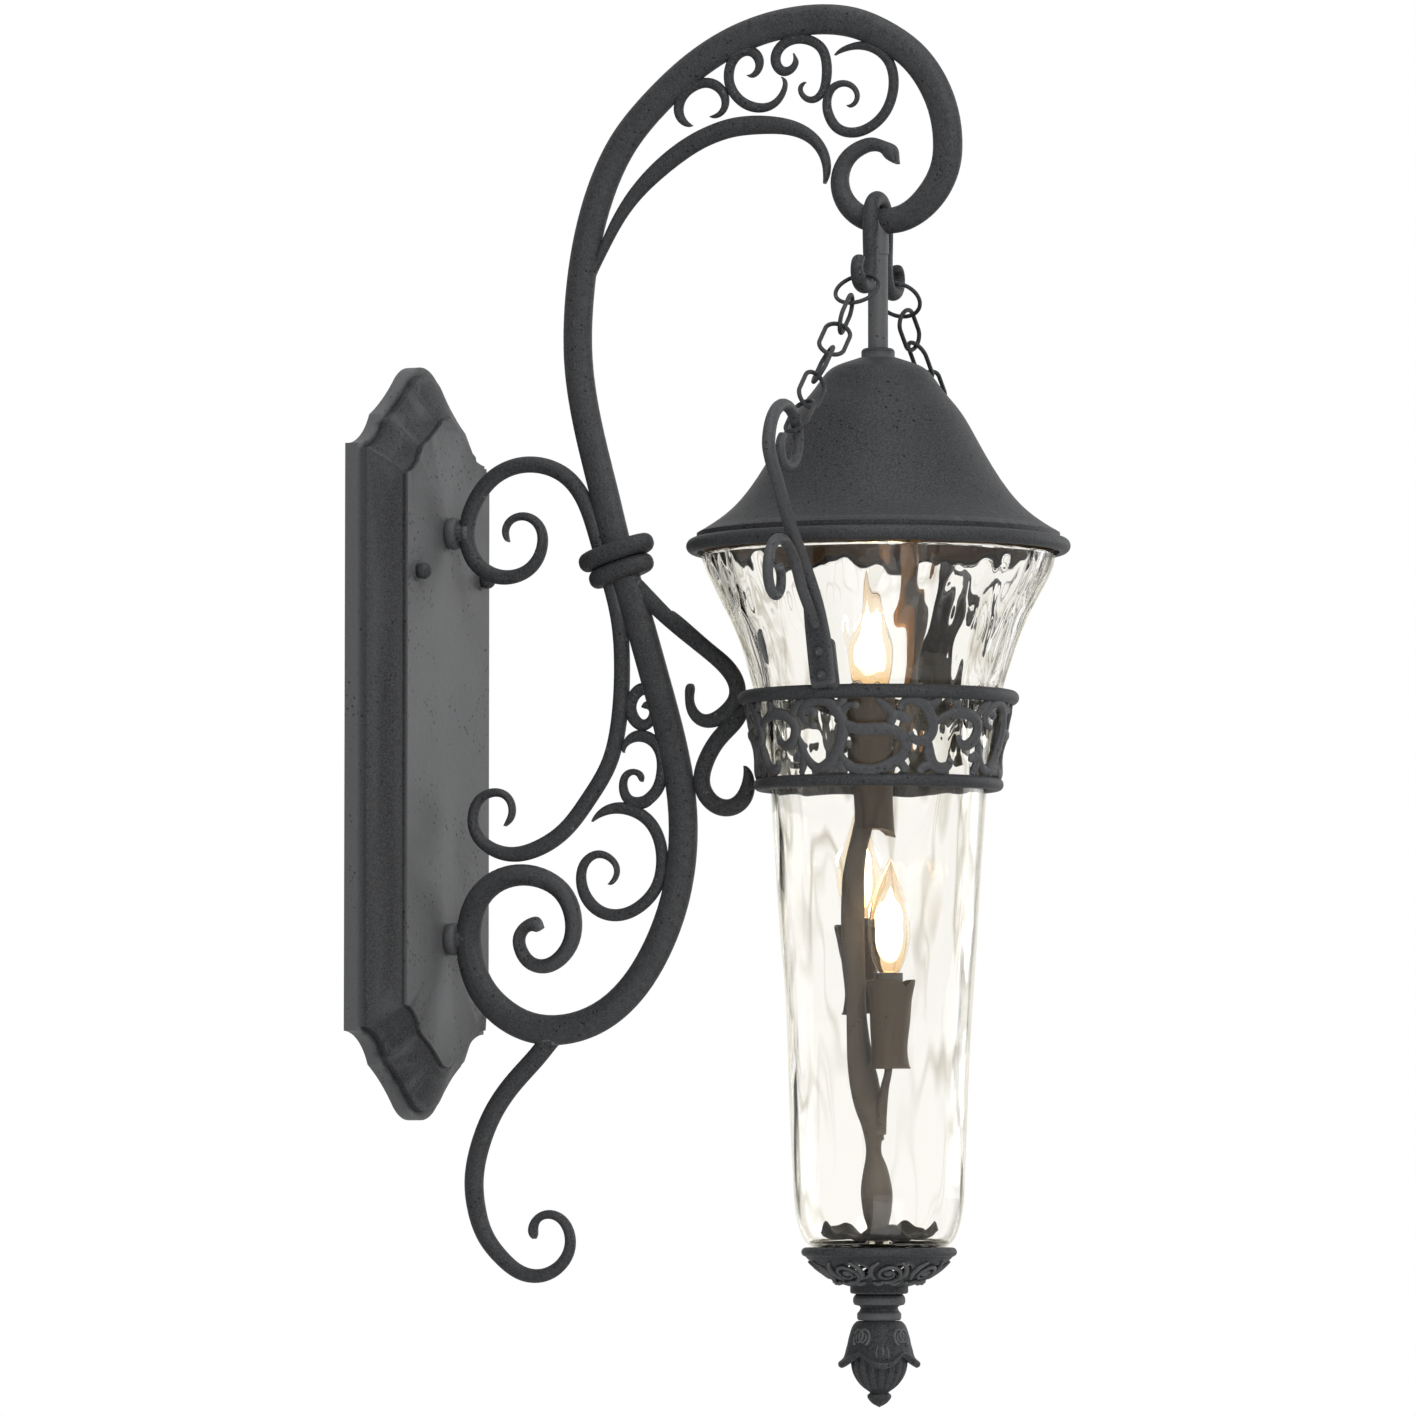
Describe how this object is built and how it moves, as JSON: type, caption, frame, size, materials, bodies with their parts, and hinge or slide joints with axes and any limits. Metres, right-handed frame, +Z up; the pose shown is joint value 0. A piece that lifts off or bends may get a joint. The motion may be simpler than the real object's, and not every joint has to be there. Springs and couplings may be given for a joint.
{
  "type": "outdoor wall light",
  "caption": "Outdoor wall light: a scrolled bracket on a stepped wall plate carries a bell-roofed lantern with a tall clear shade and candle bulbs.",
  "frame": {"origin": "on the wall, at the centre of the wall plate's back face", "axes": "+Z up, along the plate and the arm; -Y out from the wall towards the lantern; X across the plate, with +X on the right for someone who faces the wall"},
  "size_m": [0.4134, 0.5085, 1.0068],
  "materials": {
    "black_metal": "textured matt charcoal black paint on cast metal",
    "black_nut": "satin black",
    "shade_glass": "clear rippled glass",
    "bulb_glass": "clear, lit warm white",
    "bulb_brass": "plain",
    "bronze_tube": "brown bronze paint",
    "holder_plastic": "dark matt",
    "zinc_steel": "zinc plated"
  },
  "bodies": {
    "bracket": {"mounting_bar": "zinc_steel", "bar_screws": "zinc_steel", "wall_plate": "black_metal", "bracket_bosses": "black_metal", "boss_bolts": "zinc_steel", "main_arm": "black_metal", "collar": "black_metal", "upper_stay": "black_metal", "rear_stay": "black_metal", "front_scroll_upper": "black_metal", "front_scroll_lower": "black_metal", "tail_scroll": "black_metal", "spandrel_small": "black_metal", "spandrel_middle": "black_metal", "spandrel_large": "black_metal", "hook_rib": "black_metal", "hook_scroll_1": "black_metal", "hook_scroll_2": "black_metal", "hook_scroll_3": "black_metal", "hook_scroll_4": "black_metal", "hanger_strap": "black_metal", "stem_coupling": "black_metal", "stem": "black_metal", "stem_nut": "zinc_steel", "arm_front": "black_metal", "arm_back": "black_metal", "arm_rivets": "black_metal", "band_upper_ring": "black_metal", "band_lower_ring": "black_metal", "band_scrolls": "black_metal", "glass_shade": "shade_glass", "bottom_cup": "black_metal", "centre_rod": "black_metal", "vine_stem": "black_metal", "feed_tube": "bronze_tube", "candle_cups": "black_metal", "lampholders": "holder_plastic"},
    "roof_cover": {"roof": "black_metal", "stem_collar": "black_metal"},
    "finial_knob": {"finial": "black_metal"},
    "nut_left": {"cap_nut_left": "black_nut"},
    "nut_right": {"cap_nut_right": "black_nut"},
    "lamp_top": {"bulb_top": "bulb_glass", "bulb_cap_top": "bulb_brass"},
    "lamp_front": {"bulb_front": "bulb_glass", "bulb_cap_front": "bulb_brass"},
    "lamp_rear": {"bulb_rear": "bulb_glass", "bulb_cap_rear": "bulb_brass"},
    "ring_front_body": {"ring_front": "black_metal"},
    "link_front_1_body": {"link_front_1": "black_metal"},
    "link_front_2_body": {"link_front_2": "black_metal"},
    "link_front_3_body": {"link_front_3": "black_metal"},
    "link_front_4_body": {"link_front_4": "black_metal"},
    "link_front_5_body": {"link_front_5": "black_metal"},
    "ring_back_body": {"ring_back": "black_metal"},
    "link_back_1_body": {"link_back_1": "black_metal"},
    "link_back_2_body": {"link_back_2": "black_metal"},
    "link_back_3_body": {"link_back_3": "black_metal"},
    "link_back_4_body": {"link_back_4": "black_metal"},
    "link_back_5_body": {"link_back_5": "black_metal"}
  },
  "joints": [
    {"name": "roof_lift", "type": "slide", "parent": "bracket", "child": "roof_cover", "axis": [0, 0, 1], "range_m": [0, 0.03]},
    {"name": "finial_turn", "type": "hinge", "parent": "bracket", "child": "finial_knob", "pos_m": [0, -0.37102, -0.42688], "axis": [0, 0, 1], "continuous": true},
    {"name": "nut_left_turn", "type": "hinge", "parent": "bracket", "child": "nut_left", "pos_m": [-0.055, -0.035, 0.122], "axis": [0, 1, 0], "continuous": true},
    {"name": "nut_right_turn", "type": "hinge", "parent": "bracket", "child": "nut_right", "pos_m": [0.055, -0.035, 0.122], "axis": [0, 1, 0], "continuous": true},
    {"name": "bulb_top_out", "type": "slide", "parent": "bracket", "child": "lamp_top", "axis": [0, 0, 1], "range_m": [0, 0.024]},
    {"name": "bulb_front_out", "type": "slide", "parent": "bracket", "child": "lamp_front", "axis": [0, 0, 1], "range_m": [0, 0.024]},
    {"name": "bulb_rear_out", "type": "slide", "parent": "bracket", "child": "lamp_rear", "axis": [0, 0, 1], "range_m": [0, 0.024]},
    {"name": "ring_front_twist", "type": "hinge", "parent": "bracket", "child": "ring_front_body", "pos_m": [-0.03944, -0.37102, 0.31428], "axis": [-0.7288, 0, -0.6847], "range_deg": [-6, 6]},
    {"name": "link_front_1_twist", "type": "hinge", "parent": "bracket", "child": "link_front_1_body", "pos_m": [-0.06046, -0.37102, 0.29453], "axis": [-0.7288, 0, -0.6847], "range_deg": [-6, 6]},
    {"name": "link_front_2_twist", "type": "hinge", "parent": "bracket", "child": "link_front_2_body", "pos_m": [-0.08157, -0.37102, 0.2747], "axis": [-0.7288, 0, -0.6847], "range_deg": [-6, 6]},
    {"name": "link_front_3_twist", "type": "hinge", "parent": "bracket", "child": "link_front_3_body", "pos_m": [-0.10269, -0.37102, 0.25486], "axis": [-0.7288, 0, -0.6847], "range_deg": [-6, 6]},
    {"name": "link_front_4_twist", "type": "hinge", "parent": "bracket", "child": "link_front_4_body", "pos_m": [-0.1238, -0.37102, 0.23502], "axis": [-0.7288, 0, -0.6847], "range_deg": [-6, 6]},
    {"name": "link_front_5_twist", "type": "hinge", "parent": "bracket", "child": "link_front_5_body", "pos_m": [-0.14491, -0.37102, 0.21518], "axis": [-0.7288, 0, -0.6847], "range_deg": [-6, 6]},
    {"name": "ring_back_twist", "type": "hinge", "parent": "bracket", "child": "ring_back_body", "pos_m": [0.03944, -0.37102, 0.31428], "axis": [0.7288, 0, -0.6847], "range_deg": [-6, 6]},
    {"name": "link_back_1_twist", "type": "hinge", "parent": "bracket", "child": "link_back_1_body", "pos_m": [0.06046, -0.37102, 0.29453], "axis": [0.7288, 0, -0.6847], "range_deg": [-6, 6]},
    {"name": "link_back_2_twist", "type": "hinge", "parent": "bracket", "child": "link_back_2_body", "pos_m": [0.08157, -0.37102, 0.2747], "axis": [0.7288, 0, -0.6847], "range_deg": [-6, 6]},
    {"name": "link_back_3_twist", "type": "hinge", "parent": "bracket", "child": "link_back_3_body", "pos_m": [0.10269, -0.37102, 0.25486], "axis": [0.7288, 0, -0.6847], "range_deg": [-6, 6]},
    {"name": "link_back_4_twist", "type": "hinge", "parent": "bracket", "child": "link_back_4_body", "pos_m": [0.1238, -0.37102, 0.23502], "axis": [0.7288, 0, -0.6847], "range_deg": [-6, 6]},
    {"name": "link_back_5_twist", "type": "hinge", "parent": "bracket", "child": "link_back_5_body", "pos_m": [0.14491, -0.37102, 0.21518], "axis": [0.7288, 0, -0.6847], "range_deg": [-6, 6]}
  ]
}
